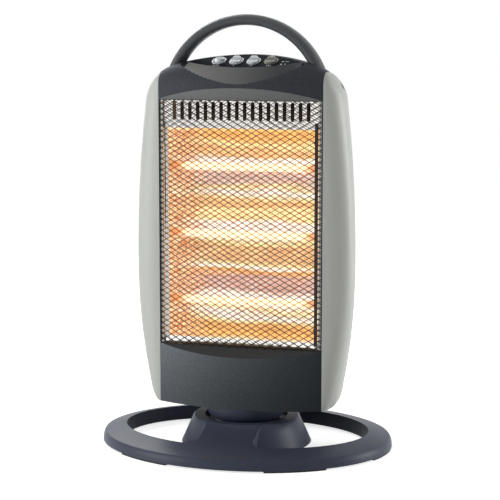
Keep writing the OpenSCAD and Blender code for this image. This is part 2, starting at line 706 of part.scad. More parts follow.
module crank() { color(brass) {
    difference() {
        translate([0, 0, crank_z]) linear_extrude(crank_t) {
            translate([motor_x, 0]) circle(r = 6);
            translate([motor_x, -4.5]) square([crank_r, 9]);
            translate([motor_x + crank_r, 0]) circle(r = 4.5);
        }
        translate([motor_x, 0, 0])
            cylinder_from(crank_z - 1, crank_z + crank_t + 1, shaft_r + running);
    }
    translate([motor_x + crank_r, 0, 0]) cylinder_from(arm_z - 0.6, crank_z + eps, pin_r);
} }
bracket_z = crank_z + crank_t + 1;
module swing_motor() { color(steel) translate([motor_x, 0, 0]) {
    cylinder_from(crank_z, bracket_z + 2, shaft_r);
    cylinder_from(bracket_z + tray_t, bracket_z + tray_t + motor_h, motor_d / 2);
    difference() {
        translate([-6, -motor_d / 2 - 9, bracket_z + tray_t]) cube([12, motor_d + 18, 1.2]);
        for (s = [-1, 1]) translate([0, s * (motor_d / 2 + 4.5), bracket_z])
            cylinder(d = 3.4, h = 8);
    }
} }
module motor_screws() { color(steel) for (s = [-1, 1])
    translate([motor_x, s * (motor_d / 2 + 4.5), bracket_z + tray_t + 1.2]) screw(3, 3.5, 6); }
module motor_bracket() { color(steel) difference() {
    union() {
        translate([0, 0, bracket_z]) linear_extrude(tray_t)
            polygon([[14, -39], [50, -39], [76, -12], [76, 12], [50, 39], [14, 39]]);
        for (p = [[19, 34], [19, -34], [71, 0]])
            translate(p) cylinder_from(tray_z + tray_t, bracket_z + eps, 3.5);
    }
    translate([motor_x, 0, bracket_z - 1]) cylinder(r = 7, h = 4);
    for (s = [-1, 1]) translate([motor_x, s * (motor_d / 2 + 4.5), bracket_z - 1])
        cylinder(d = 3.4, h = 4);
} }
table_screw_r = 32;
table_round = 14;
function table_edge(r, a) = [table_r - table_round + r * cos(a),
    table_low + table_round + r * sin(a)];
module at_table_screws() for (a = [80, 180, 280]) rotate(a)
    translate([table_screw_r, 0, 0]) children();
module turntable() { color(base_blue) difference() {
    union() {
        rotate_extrude($fn = 128) polygon(concat(
            [[post_r + running, table_low]],
            [for (a = [-90:15:0]) table_edge(table_round, a)],
            [[table_r, tray_z], [table_r - wall, tray_z]],
            [for (a = [0:-15:-90]) table_edge(table_round - wall, a)],
            [[post_r + 4, table_low + wall], [post_r + 4, tray_z],
                [post_r + running, tray_z]]));
        at_table_screws() cylinder_from(table_low + 1, tray_z, 4.5);
    }
    at_table_screws() cylinder_from(table_low + wall, tray_z + 1, (screw_d + hole_play) / 2);
} }
module table_screws() { color(steel) at_table_screws()
    translate([0, 0, tray_z + tray_t]) screw(screw_d, 12, 7); }

// ---- Switches ----
rocker_pivot = 3;
stub_d = 2.4;
module stadium(l, w, h) linear_extrude(h) slot2(l, w);
module switch_bezels() { color([0.62, 0.64, 0.66]) at_switches() difference() {
    stadium(rocker_l + 2 * bezel_rim, rocker_w + 2 * bezel_rim, 1.2);
    translate([0, 0, -1]) stadium(rocker_l + 0.8, rocker_w + 0.8, 3);
} }
module switch_bodies() { color(black) at_switches() {
    difference() {
        translate([0, 0, -18]) stadium(rocker_l + 1.4, rocker_w + 1.4, 18);
        translate([0, 0, -7]) stadium(rocker_l + 0.8, rocker_w + 0.4, 8);
        translate([-rocker_w, 0, -rocker_pivot]) rod_x(stub_d + 2 * running, 2 * rocker_w);
    }
    for (y = [-4, 4]) translate([-2.4, y - 0.4, -24]) cube([4.8, 0.8, 6 + eps]);
} }
module rocker(colour, turn) { color(colour) rotate([turn, 0, 0]) {
    intersection() {
        profile_x(-rocker_w / 2, rocker_w / 2) translate([0, rocker_pivot])
            polygon([[-rocker_l / 2, -5], [rocker_l / 2, -5], [rocker_l / 2, 4.8],
                [rocker_l / 4, 3.2], [0, 2.6], [-rocker_l / 4, 3.2], [-rocker_l / 2, 4.8]]);
        translate([0, 0, -6]) stadium(rocker_l - 2, rocker_w, 20);
    }
    translate([-rocker_w / 2 - 0.6, 0, 0]) rod_x(stub_d, rocker_w + 1.2);
} }
module rocker_at(i, colour, turn)
    on_panel((i - 2.5) * switch_pitch + switch_x, switch_back, -rocker_pivot)
        rocker(colour, turn);
lit = [0.80, 0.83, 0.86];
dark = [0.33, 0.34, 0.32];
module rocker_1() { rocker_at(1, lit, -rocker_travel / 2); }
module rocker_2() { rocker_at(2, lit, rocker_travel / 2); }
module rocker_3() { rocker_at(3, lit, rocker_travel / 2); }
module rocker_4() { rocker_at(4, dark, rocker_travel / 2); }

// ---- Stand ----
plate_t = 1.5;
boss_r = 60;
tip_y = -55;
function oval(a, b, t) = a * b / norm([b * cos(t), a * sin(t)]);
function ring_out(t) = oval(ring_w / 2, ring_d / 2, t);
function ring_in(t) = oval(ring_w / 2 - ring_side, ring_d / 2 - ring_front, t);
// Heights of the stand's top from the outer foot in to the collar, as [radius, height]
function crown(t, off) =
    let (ro = ring_out(t), ri = ring_in(t), rc = collar_r - 1.5, h = ring_shoulder - foot_h)
    concat([for (a = [0:25:75]) [ro - 4.6 * (1 - cos(a)) - off, foot_h + h * sin(a)]],
        [for (k = [0, 0.5, 1]) [ro - 4.6 + (ri - ro + 4.6) * k,
            ring_shoulder + (ring_h - ring_shoulder) * k - off]],
        [for (k = [0.25:0.25:1]) [ri + (rc - ri) * k,
            ring_h + (collar_h - 0.3 - ring_h) * (0.3 * k + 0.7 * k * k) - off]]);
crown_steps = 72;
// Solid of revolution-like rings that closes on itself
module hoop(sections) {
    n = len(sections);
    m = len(sections[0]);
    polyhedron([for (s = sections) each s], [for (i = [0:n - 1], j = [0:m - 1])
        let (a = i * m + j, b = i * m + (j + 1) % m,
             c = ((i + 1) % n) * m + j, d = ((i + 1) % n) * m + (j + 1) % m)
        each [[a, b, d], [a, d, c]]], convexity = 8);
}
function spun(p, t) = [p[0] * cos(t), p[0] * sin(t), p[1]];
function reversed(list) = [for (i = [len(list) - 1:-1:0]) list[i]];
module crown_sheet() hoop([for (i = [0:crown_steps - 1])
    let (t = i * 360 / crown_steps)
    [for (p = concat(crown(t, 0), reversed(crown(t, wall)))) spun(p, t)]]);
module crown_solid() hoop([for (i = [0:crown_steps - 1])
    let (t = i * 360 / crown_steps, top = crown(t, 0.5), n = len(top))
    [for (p = concat(top, [[top[n - 1][0], foot_h]])) spun(p, t)]]);
module opening2() for (s = [0, 1]) mirror([s, 0]) offset(r = opening_r)
    offset(delta = -opening_r) difference() {
        polygon([for (i = [0:71]) ring_in(i * 5) * [cos(i * 5), sin(i * 5)]]);
        circle(r = collar_r - 1, $fn = 96);
        translate([-300 + bridge_half, -200]) square([300, 400]);
    }
module base_shell() { color(base_blue) {
    difference() {
        union() {
            crown_sheet();
            intersection() {
                crown_solid();
                translate([0, 0, foot_h]) linear_extrude(60) offset(r = wall) opening2();
            }
        }
        translate([0, 0, -1]) linear_extrude(80) opening2();
        cylinder_from(collar_h - 3, 80, collar_r - wall / 2);
        cone_height = collar_h - 1.5 - foot_h;
        translate([0, 0, foot_h - 3]) cylinder(h = cone_height + 3, r2 = collar_r - wall / 2,
            r1 = cone_r - wall / 2 + 3 * (cone_r - collar_r) / cone_height);
    }
    difference() {
        union() {
            rotate_extrude($fn = 96) polygon([[cone_r, foot_h], [collar_r, collar_h - 1.5],
                [collar_r - 1.5, collar_h], [mouth_r, collar_h], [mouth_r, bowl_z],
                [post_r + 0.5, bowl_z], [post_r + 0.5, bowl_z - wall],
                [mouth_r + wall, bowl_z - wall], [mouth_r + wall, collar_h - wall],
                [collar_r - wall, collar_h - wall], [cone_r - wall, foot_h]]);
            at_angles(4, boss_r, 45) cylinder_from(foot_h + plate_t, collar_h - 1, 4, $fn = 24);
            at_angles(8, 0, 22.5) translate([0, 1, 0]) rotate([90, 0, 0]) linear_extrude(2)
                polygon([[30, bowl_z - wall + eps], [mouth_r + wall, bowl_z - wall + eps],
                    [mouth_r + wall, bowl_z - wall - 9], [30, bowl_z - wall - 2]]);
        }
        at_angles(4, boss_r, 45) cylinder_from(-1, 16, 1.7, $fn = 24);
        at_angles(3, 19) cylinder_from(bowl_z - 5, bowl_z + 1, 2.2, $fn = 24);
    }
} }
module base_plate() { color(steel) difference() {
    cylinder_from(foot_h, foot_h + plate_t, cone_r - wall - 1.4);
    at_angles(4, boss_r, 45) cylinder_from(-1, 10, 1.7);
    translate([0, tip_y, 0]) cylinder_from(-1, 10, plunger_r + 0.5);
} }
module base_screws() { color(steel) at_angles(4, boss_r, 45) translate([0, 0, foot_h])
    mirror([0, 0, 1]) screw(3, 12, 5); }
foot_arcs = [[219, 246], [294, 321], [345, 375], [165, 195], [38, 66], [114, 142]];
module foot_pads() { color(black) for (arc = foot_arcs) linear_extrude(foot_h)
    polygon(concat(
        [for (i = [0:8]) let (t = arc[0] + (arc[1] - arc[0]) * i / 8)
            (ring_out(t) - 0.8) * [cos(t), sin(t)]],
        [for (i = [8:-1:0]) let (t = arc[0] + (arc[1] - arc[0]) * i / 8)
            (ring_out(t) - 0.8 - foot_w) * [cos(t), sin(t)]])); }

// ---- Tip-over switch under the collar ----
plunger_r = 3.5;
tip_travel = 4;
tip_floor = 8;
tip_h = 20;
module tip_switch() { color(black) translate([0, tip_y, 0]) difference() {
    translate([-8, -8, foot_h + plate_t]) cube([16, 16, tip_h]);
    cylinder_from(0, tip_floor + 1, plunger_r + running);
    cylinder_from(tip_floor, foot_h + plate_t + tip_h - 1.5, plunger_r + 1.8);
} }
module tip_plunger() { color([0.75, 0.2, 0.15]) translate([0, tip_y, 0]) {
    cylinder_from(0.2, tip_floor + tip_travel + 1, plunger_r);
    cylinder_from(tip_floor + tip_travel + 0.3, tip_floor + tip_travel + 2, plunger_r + 1.5);
} }
spring_low = tip_floor + tip_travel + 2;
spring_high = foot_h + plate_t + tip_h - 1.5;
spring_turns = 4;
module tip_spring() { color(steel) translate([0, tip_y, 0]) loft([for (i = [0:spring_turns * 12])
    let (t = i * 30, w = 0.35, r = plunger_r + 0.6,
         z = spring_low + w + (spring_high - spring_low - 2 * w) * i / (spring_turns * 12))
    [for (b = [300:-60:0]) let (q = r + w * cos(b)) [q * cos(t), q * sin(t), z + w * sin(b)]]]);
}

base_shell();
base_plate();
base_screws();
foot_pads();
pivot_post();
post_screws();
thrust_washer();
top_washer();
swing_arm();
arm_nut();
tip_switch();
tip_plunger();
tip_spring();
turntable();
floor_tray();
table_screws();
bottom_cover();
side_panel_left();
side_panel_right();
panel_screws();
side_frame_left();
side_frame_right();
top_cover();
handle();
handle_screws();
rear_cover();
rear_screws();
guard();
guard_rods();
reflector();
reflector_end_left();
reflector_end_right();
heat_shield();
lamp_tubes();
lamp_coils();
lamp_caps();
lamp_clips();
thermal_cutout();
terminal_block();
cord_gland();
motor_bracket();
swing_motor();
motor_screws();
crank();
switch_bezels();
switch_bodies();
rocker_1();
rocker_2();
rocker_3();
rocker_4();
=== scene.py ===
import math

import bmesh
import bpy
from mathutils import Matrix, Vector


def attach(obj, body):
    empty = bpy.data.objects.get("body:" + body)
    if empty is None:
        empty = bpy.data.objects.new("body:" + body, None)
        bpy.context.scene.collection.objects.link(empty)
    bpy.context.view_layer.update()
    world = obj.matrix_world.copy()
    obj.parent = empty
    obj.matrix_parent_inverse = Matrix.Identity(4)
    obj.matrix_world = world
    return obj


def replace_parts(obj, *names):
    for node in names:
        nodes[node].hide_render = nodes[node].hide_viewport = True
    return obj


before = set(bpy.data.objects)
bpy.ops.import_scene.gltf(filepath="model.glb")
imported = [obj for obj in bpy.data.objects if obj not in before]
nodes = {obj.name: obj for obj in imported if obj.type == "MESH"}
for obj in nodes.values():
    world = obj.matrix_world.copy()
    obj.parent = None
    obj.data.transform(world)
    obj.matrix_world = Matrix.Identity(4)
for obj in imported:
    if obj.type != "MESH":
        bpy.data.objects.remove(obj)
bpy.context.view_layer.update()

# ---- Sizes shared with the solids, in metres ----
# The guard: its ends, its half width, and the radius and centre of its bow.
GUARD_BOTTOM, GUARD_TOP, GUARD_HALF = 0.1245, 0.4225, 0.1015
GUARD_MIDDLE, GUARD_TALL = (GUARD_BOTTOM + GUARD_TOP) / 2, GUARD_TOP - GUARD_BOTTOM
GUARD_R, GUARD_MID_Y = 0.61625, 0.57875
# The glow: the heights between which the sheet is lit, and where coils end and caps begin.
LIT_BOTTOM, LIT_TOP = 0.1345, 0.3875
COIL_TO_CAP = (0.073, 0.084)
# The switch panel: its front edge and slope, and the row of switches on it.
PANEL_Y, PANEL_Z, PANEL_TILT = -0.030, 0.461, math.radians(20)
SWITCH_PITCH, SWITCH_BACK, SWITCH_X = 0.0216, 0.0195, 0.0019
# The scoop: its half width, and how much steeper than the panel its middle is.
SCOOP_HALF, SCOOP_TILT = 0.071, math.radians(25)
# The outer screws: in the rear cover's corners, the side panels and round the base plate.
REAR_SCREW_X, REAR_SCREW_Y, REAR_SCREW_ZS = 0.091, 0.052, (0.140, 0.407)
PANEL_SCREW_X, PANEL_SCREW_Y, PANEL_SCREW_Z = 0.105, 0.008, 0.438
BASE_SCREW_R, BASE_SCREW_Z, BASE_SCREW_TURNS = 0.06, 0.002, (45, 135, 225, 315)

# ---- Regions of a moulding, which are its material slots ----
PLAIN = 0
PANEL, SCOOP, BROW, TIP = 1, 2, 3, 4
SILL = 1
OPENING = 1

# ---- Outputs of an axis split, and the colour sockets of a Mix node ----
X, Y, Z = 0, 1, 2
MIX_A, MIX_B, MIX_RESULT = 6, 7, 2


# ---- Materials ----
def linear(r, g, b):
    """Colour from screen values of 0 to 255."""
    def channel(v):
        v /= 255
        return v / 12.92 if v <= 0.04045 else ((v + 0.055) / 1.055) ** 2.4
    return (channel(r), channel(g), channel(b), 1.0)


def shade(colour, k):
    """The same colour, k times as light."""
    return tuple(min(c * k, 1) for c in colour[:3]) + (1.0,)


class Finish:
    """A Principled material with helpers for the nodes in front of it."""

    def __init__(self, name, colour, roughness, metallic=0.0, specular=0.5):
        self.material = bpy.data.materials.new(name)
        self.material.use_nodes = True
        self.tree = self.material.node_tree
        self.shader = next(n for n in self.tree.nodes if n.type == "BSDF_PRINCIPLED")
        self.colour = colour
        self.set("Base Color", colour)
        self.set("Roughness", roughness)
        self.set("Metallic", metallic)
        self.set("Specular IOR Level", specular)
        self.place = self.node("ShaderNodeTexCoord").outputs["Object"]

    def node(self, kind, **settings):
        made = self.tree.nodes.new(kind)
        for key, value in settings.items():
            setattr(made, key, value)
        return made

    def link(self, out, into):
        self.tree.links.new(out, into)

    def set(self, socket, value):
        """One value all over the surface."""
        self.shader.inputs[socket].default_value = value

    def feed(self, socket, value):
        """A value that changes over the surface."""
        self.link(value, self.shader.inputs[socket])

    def noise(self, scale, detail=2.0, stretch=None):
        """Noise on the piece's own place; stretch scales each axis."""
        texture = self.node("ShaderNodeTexNoise")
        texture.inputs["Scale"].default_value = scale
        texture.inputs["Detail"].default_value = detail
        source = self.place
        if stretch:
            mapping = self.node("ShaderNodeMapping")
            mapping.inputs["Scale"].default_value = stretch
            self.link(self.place, mapping.inputs["Vector"])
            source = mapping.outputs["Vector"]
        self.link(source, texture.inputs["Vector"])
        return texture.outputs["Fac"]

    def cells(self, scale):
        """A value of its own for each tiny cell."""
        texture = self.node("ShaderNodeTexVoronoi")
        texture.inputs["Scale"].default_value = scale
        self.link(self.place, texture.inputs["Vector"])
        channels = self.node("ShaderNodeSeparateColor")
        self.link(texture.outputs["Color"], channels.inputs[0])
        return channels.outputs[0]

    def waves(self, scale, distortion=0.0):
        """Waves that follow each other across the piece."""
        texture = self.node("ShaderNodeTexWave", wave_type="BANDS", bands_direction="X")
        texture.inputs["Scale"].default_value = scale
        texture.inputs["Distortion"].default_value = distortion
        self.link(self.place, texture.inputs["Vector"])
        return texture.outputs["Fac"]

    def axis(self, which):
        """The place along one axis, in metres."""
        split = self.node("ShaderNodeSeparateXYZ")
        self.link(self.place, split.inputs[0])
        return split.outputs[which]

    def remap(self, value, low, high, source=(0.3, 0.7)):
        """Takes the source range to low and high, and stops there."""
        ranged = self.node("ShaderNodeMapRange")
        for key, number in (("From Min", source[0]), ("From Max", source[1]),
                            ("To Min", low), ("To Max", high)):
            ranged.inputs[key].default_value = number
        self.link(value, ranged.inputs["Value"])
        return ranged.outputs["Result"]

    def math(self, operation, a, b=None):
        made = self.node("ShaderNodeMath", operation=operation)
        for socket, value in zip(made.inputs, (a, b)):
            if value is None:
                continue
            if isinstance(value, (int, float)):
                socket.default_value = value
            else:
                self.link(value, socket)
        return made.outputs[0]

    def product(self, first, *others):
        for other in others:
            first = self.math("MULTIPLY", first, other)
        return first

    def ramp(self, value, stops):
        """Colours in a row; each stop is a place from 0 to 1 and its colour."""
        made = self.node("ShaderNodeValToRGB")
        elements = made.color_ramp.elements
        while len(elements) < len(stops):
            elements.new(0.5)
        for element, (position, colour) in zip(elements, stops):
            element.position = position
            element.color = colour
        self.link(value, made.inputs["Fac"])
        return made.outputs["Color"]

    def blend(self, factor, a, b):
        made = self.node("ShaderNodeMix", data_type="RGBA")
        self.link(factor, made.inputs["Factor"])
        for socket, value in ((made.inputs[MIX_A], a), (made.inputs[MIX_B], b)):
            if isinstance(value, tuple):
                socket.default_value = value
            else:
                self.link(value, socket)
        return made.outputs[MIX_RESULT]

    def vary(self, factor, amount):
        """Lets the colour run from darker to paler as the factor rises."""
        self.feed("Base Color", self.blend(factor, shade(self.colour, 1 - amount),
                                           shade(self.colour, 1 + amount)))
        return self

    def mottle(self, scale, amount):
        """Slow change of the colour over the surface."""
        return self.vary(self.remap(self.noise(scale), 0, 1), amount)

    def flake(self, scale, amount):
        """Tiny bright flakes, as in metallic mouldings."""
        return self.vary(self.cells(scale), amount)

    def uneven(self, scale, low, high, stretch=None):
        """Change of roughness over the surface."""
        self.feed("Roughness", self.remap(self.noise(scale, stretch=stretch), low, high))
        return self

    def grain(self, scale, depth, strength):
        """Fine relief, depth in metres."""
        bump = self.node("ShaderNodeBump")
        bump.inputs["Strength"].default_value = strength
        bump.inputs["Distance"].default_value = depth
        self.link(self.noise(scale, 3.0), bump.inputs["Height"])
        self.feed("Normal", bump.outputs["Normal"])
        return self


silver = Finish("silver_moulding", linear(192, 194, 189), 0.56, metallic=0.1) \
    .flake(2600, 0.05).grain(900, 0.0001, 0.2)
slate = Finish("slate_moulding", linear(72, 75, 81), 0.55, specular=0.07) \
    .flake(1100, 0.16).grain(1400, 0.00012, 0.3)
panel_slate = Finish("switch_panel", linear(34, 36, 42), 0.6, specular=0.02) \
    .mottle(80, 0.05).grain(1400, 0.00012, 0.3)
handle_slate = Finish("handle_moulding", linear(84, 87, 90), 0.4, specular=0.25) \
    .mottle(60, 0.05).grain(1200, 0.0001, 0.3)
stand = Finish("stand_moulding", linear(63, 68, 84), 0.42, specular=0.2) \
    .mottle(30, 0.05).grain(1000, 0.00008, 0.2)
# Painted shade: the openings' inward walls are darker than the stand.
opening_painted_shade = Finish("stand_openings_painted_shade", linear(34, 37, 50), 0.5, specular=0.15) \
    .mottle(30, 0.05)
rear_paint = Finish("rear_paint", linear(72, 74, 80), 0.55, metallic=0.1, specular=0.2) \
    .mottle(50, 0.05).grain(2000, 0.0001, 0.4)
guard_paint = Finish("guard_paint", linear(12, 12, 13), 0.5, specular=0.2).mottle(120, 0.15)
galvanised = Finish("galvanised_sheet", linear(206, 206, 202), 0.5, metallic=0.3) \
    .mottle(70, 0.1)
shield_steel = Finish("shield_steel", linear(40, 38, 36), 0.5, metallic=0.3).mottle(60, 0.1)
zinc = Finish("zinc_plate", linear(165, 168, 172), 0.35, metallic=1.0) \
    .mottle(80, 0.08).uneven(40, 0.28, 0.45)
ceramic_painted_glow = Finish("lamp_ceramic", linear(226, 214, 196), 0.7) \
    .mottle(150, 0.05).grain(1800, 0.0001, 0.3)
# Painted lamp light: the ceramic caps glow faintly warm, though they are no lamp.
ceramic_painted_glow.set("Emission Color", linear(255, 190, 120))
ceramic_painted_glow.set("Emission Strength", 0.35)
black = Finish("black_moulding", linear(30, 30, 33), 0.5) \
    .mottle(60, 0.08).grain(1500, 0.0001, 0.4)
nylon = Finish("natural_nylon", linear(222, 219, 206), 0.5).mottle(90, 0.04)
motor = Finish("motor_case", linear(150, 152, 156), 0.4, metallic=0.9).mottle(60, 0.06)
brass = Finish("brass", linear(196, 164, 96), 0.3, metallic=1.0).mottle(90, 0.08)
pad_rubber = Finish("pad_rubber", linear(26, 26, 27), 0.8) \
    .mottle(200, 0.1).grain(2500, 0.0002, 0.5)
plunger_red = Finish("plunger_red", linear(176, 52, 40), 0.35).mottle(90, 0.04)
mark_paint = Finish("mark_paint", linear(240, 242, 244), 0.5).mottle(300, 0.05)


def rocker_finish(name, colour, mark):
    """Rocker moulding with a plain ring on the lobe that is pressed to switch on."""
    lobe_back, ring_radius, ring_line = 0.0045, 0.0016, 0.0003
    made = Finish(name, colour, 0.28, metallic=0.15)
    across = made.math("ADD", made.axis(X), 2 * SWITCH_PITCH - SWITCH_X)
    across = made.math("SUBTRACT", made.math("MODULO", across, SWITCH_PITCH), SWITCH_PITCH / 2)
    lobe_y = PANEL_Y + (SWITCH_BACK + lobe_back) * math.cos(PANEL_TILT)
    along = made.math("SUBTRACT", made.axis(Y), lobe_y)
    reach = made.math("SQRT", made.math("ADD", made.product(across, across),
                                        made.product(along, along)))
    off_ring = made.math("ABSOLUTE", made.math("SUBTRACT", reach, ring_radius))
    ring = made.math("LESS_THAN", off_ring, ring_line)
    made.feed("Base Color", made.blend(ring, colour, mark))
    return made.uneven(160, 0.24, 0.34)


switch_silver = rocker_finish("switch_silver", linear(226, 231, 235), linear(150, 156, 162))
switch_dark = rocker_finish("switch_dark", linear(150, 150, 140), linear(212, 212, 204))


def painted_light_satin(name, left, right, half, flake=0.0, low=1.0):
    """Satin moulding with painted light: a lit left tone runs to a shaded right one over half
    on each side.

    It darkens to low times as light down the height of the bottom cover, as painted shade."""
    cover_height = (0.065, 0.118)
    made = Finish(name, left, 0.42, specular=0.15).grain(1400, 0.00012, 0.3)
    # Painted light: paler to the left and darker to the right.
    tone = made.blend(made.remap(made.axis(X), 0, 1, (-half, half)), left, right)
    # Painted shade: darker down the bottom cover's height; the cells are flakes.
    level = made.product(made.remap(made.axis(Z), low, 1, cover_height),
                         made.remap(made.cells(1100), 1 - flake, 1 + flake, (0, 1)))
    paint = made.node("ShaderNodeVectorMath", operation="SCALE")
    made.link(tone, paint.inputs[0])
    made.link(level, paint.inputs["Scale"])
    made.feed("Base Color", paint.outputs[0])
    return made


def bezel_finish():
    """Silver bezels, with the last one darker."""
    made = Finish("bezel_silver", linear(224, 229, 234), 0.25, metallic=0.2)
    last = made.math("GREATER_THAN", made.axis(X), SWITCH_X + SWITCH_PITCH)
    made.feed("Base Color", made.blend(last, made.colour, linear(136, 136, 128)))
    return made


def lit_height(made):
    """1 over the height of the glow, 0 above and below it."""
    z = made.axis(Z)
    return made.product(made.math("GREATER_THAN", z, LIT_BOTTOM),
                        made.math("LESS_THAN", z, LIT_TOP))


def guard_painted_glow():
    """Black strands, with a painted brown glow in front of the lamps."""
    glow_end = (0.082, 0.092)
    made = Finish("guard_strands_painted_glow", linear(12, 12, 13), 0.5, specular=0.2).mottle(120, 0.15)
    # Painted lamp light on the strands that stand in front of the glow.
    made.set("Emission Color", linear(196, 84, 40))
    between = made.remap(made.math("ABSOLUTE", made.axis(X)), 1, 0, glow_end)
    made.feed("Emission Strength", made.product(lit_height(made), between,
                                                made.remap(made.noise(120), 0.02, 0.3)))
    return made


def mirrored_guard(made, x, z):
    """Fine crossing lines: the guard, seen again in the sheet."""
    per_x, per_z, per_bend, line = 640, 1040, 900, (0.8, 0.99)
    bend = made.product(made.remap(made.noise(40), -0.0012, 0.0012), per_bend)
    rows = []
    for lean in (1, -1):
        along = made.math("ADD", made.product(x, per_x), made.product(z, lean * per_z))
        along = made.math("ADD", along, bend)
        rows.append(made.remap(made.math("SINE", along), 0, 1, line))
    return made.math("MAXIMUM", *rows)


def mirrored_lamps(made, z, wobble):
    """The sheet's tones by height, as it mirrors the lamps and itself."""
    hot, yellow, orange = linear(255, 252, 240), linear(255, 230, 168), linear(232, 176, 106)
    ember, haze, mist = linear(224, 184, 134), linear(200, 184, 174), linear(176, 164, 162)
    # Each height is in millimetres.
    bands = [(133, orange), (144, orange), (149, yellow), (156, hot), (163, yellow),
             (168, hot), (180, hot), (186, mist), (203, mist), (209, orange), (213, hot),
             (219, yellow), (224, ember), (241, ember), (247, yellow), (254, hot), (268, hot),
             (274, yellow), (285, yellow), (289, ember), (299, ember), (303, yellow),
             (308, hot), (313, yellow), (318, haze), (333, haze), (338, hot), (347, hot),
             (351, ember), (361, ember), (367, yellow), (374, orange)]
    low, high = bands[0][0], 388
    height = made.remap(made.math("ADD", z, wobble), 0, 1, (low / 1000, high / 1000))
    return made.ramp(height, [((place - low) / (high - low), tone) for place, tone in bands])


def reflector_finish():
    """Polished sheet: bright where it is cold, with a faint painted glow there; where it
    mirrors the lamps, painted bands of glow.
    """
    bands_middle, bands_end, speck_range = 0.018, (0.070, 0.100), (0.38, 0.62)
    lit, cold_painted_glow, guard_share = 1.22, 0.08, 0.7
    made = Finish("polished_reflector_painted_glow", linear(250, 250, 248), 0.16, metallic=1.0)
    made.uneven(30, 0.10, 0.22, (1, 1, 6))
    x, z = made.axis(X), made.axis(Z)
    wobble = made.remap(made.noise(14, 3.0, (0.6, 1, 4)), -0.005, 0.005)
    speck = made.remap(made.noise(420), 0, 1, speck_range)
    # Near the sheet's ends the painted bands give way to a painted speckle of glow.
    away = made.math("ABSOLUTE", made.math("ADD", x, -bands_middle))
    ends = made.remap(made.math("ADD", away, wobble), 0, 0.85, bands_end)
    speckle = made.blend(speck, linear(206, 112, 50), linear(246, 226, 184))
    glow = made.blend(ends, mirrored_lamps(made, z, wobble), speckle)
    # Painted reflection of the guard: its lines cross the glow.
    lines = made.product(mirrored_guard(made, x, z), guard_share)
    glow = made.blend(lines, glow, linear(186, 88, 42))
    flicker = made.product(made.remap(made.noise(90, 3.0, (0.15, 1, 3)), 0.82, 1.18),
                           made.remap(made.waves(90, 3), 0.92, 1.08, (0, 1)),
                           made.remap(speck, 0.9, 1.12, (0, 1)))
    inside = lit_height(made)
    # Inside the glow the metal is warmed and darkened, a painted tint of the lamps'
    # reflection.
    made.feed("Base Color", made.blend(inside, made.colour, linear(104, 82, 64)))
    made.feed("Emission Color", glow)
    # The emission is painted light: the glow inside, and a faint glow everywhere else.
    made.feed("Emission Strength", made.math("MAXIMUM", made.product(flicker, lit, inside),
                                             cold_painted_glow))
    return made


def rail_finish():
    """Bright rail on the left, with painted shade outside and higher up, painted shade that
    darkens it on the right, and a faint painted glow.
    """
    shade_edge, shade_rise = -0.0939, (0.24, 0.3)
    made = Finish("rail_steel_painted_light", linear(250, 250, 248), 0.3)
    x = made.axis(X)
    shaded = made.product(made.math("LESS_THAN", x, shade_edge),
                          made.remap(made.axis(Z), 0, 1, shade_rise))
    tone = made.blend(shaded, made.colour, linear(96, 92, 88))
    # Painted shade makes the rail dark on the right.
    tone = made.blend(made.math("GREATER_THAN", x, 0), tone, linear(44, 34, 32))
    made.feed("Base Color", tone)
    # Painted lamp light: the rail glows faintly in its own tone.
    made.feed("Emission Color", tone)
    made.set("Emission Strength", 0.25)
    return made.uneven(60, 0.24, 0.36)


def lamp_glow(made, middle, strength):
    """Emission that reddens and fades where the coil stops short of the caps."""
    x = made.math("ABSOLUTE", made.axis(X))
    ends = made.remap(x, 0, 1, COIL_TO_CAP)
    made.feed("Emission Color", made.blend(ends, middle, linear(214, 120, 60)))
    made.feed("Emission Strength", made.product(strength, made.remap(x, 1, 0.45, COIL_TO_CAP)))
    return made


def quartz_finish():
    """Lit quartz: a bright warm haze that lets the coil show."""
    made = Finish("lit_quartz", linear(255, 240, 214), 0.1)
    made.set("Alpha", 0.5)
    streaks = made.remap(made.noise(60, 3.0, (1, 4, 4)), 0.7, 1.1)
    return lamp_glow(made, linear(255, 238, 206), streaks)


def coil_finish():
    """Lit coil, with its turns."""
    made = Finish("lamp_coil", linear(255, 226, 170), 0.5)
    turns = made.remap(made.waves(300), 1.2, 2.4, (0, 1))
    return lamp_glow(made, linear(255, 226, 160), turns)


finishes = {
    silver: ["side_panel_left", "side_panel_right"],
    slate: ["top_cover", "bottom_cover"],
    handle_slate: ["handle"],
    stand: ["base_shell", "turntable"],
    rear_paint: ["rear_cover"],
    zinc: ["base_plate", "base_screws", "pivot_post", "post_screws", "swing_arm", "arm_nut",
           "tip_spring", "floor_tray", "table_screws", "panel_screws", "handle_screws",
           "rear_screws", "lamp_clips", "motor_bracket", "motor_screws"],
    galvanised: ["side_frame_left", "side_frame_right"],
    shield_steel: ["heat_shield"],
    rail_finish(): ["guard_rods"],
    guard_paint: ["guard"],
    reflector_finish(): ["reflector", "reflector_end_left", "reflector_end_right"],
    quartz_finish(): ["lamp_tubes"],
    coil_finish(): ["lamp_coils"],
    ceramic_painted_glow: ["lamp_caps"],
    black: ["tip_switch", "thermal_cutout", "cord_gland", "switch_bodies"],
    nylon: ["thrust_washer", "top_washer", "terminal_block"],
    motor: ["swing_motor"],
    brass: ["crank"],
    pad_rubber: ["foot_pads"],
    plunger_red: ["tip_plunger"],
    bezel_finish(): ["switch_bezels"],
    switch_silver: ["rocker_1", "rocker_2", "rocker_3"],
    switch_dark: ["rocker_4"],
}
for finish, names in finishes.items():
    for name in names:
        slots = nodes[name].data.materials
        slots.clear()
        slots.append(finish.material)


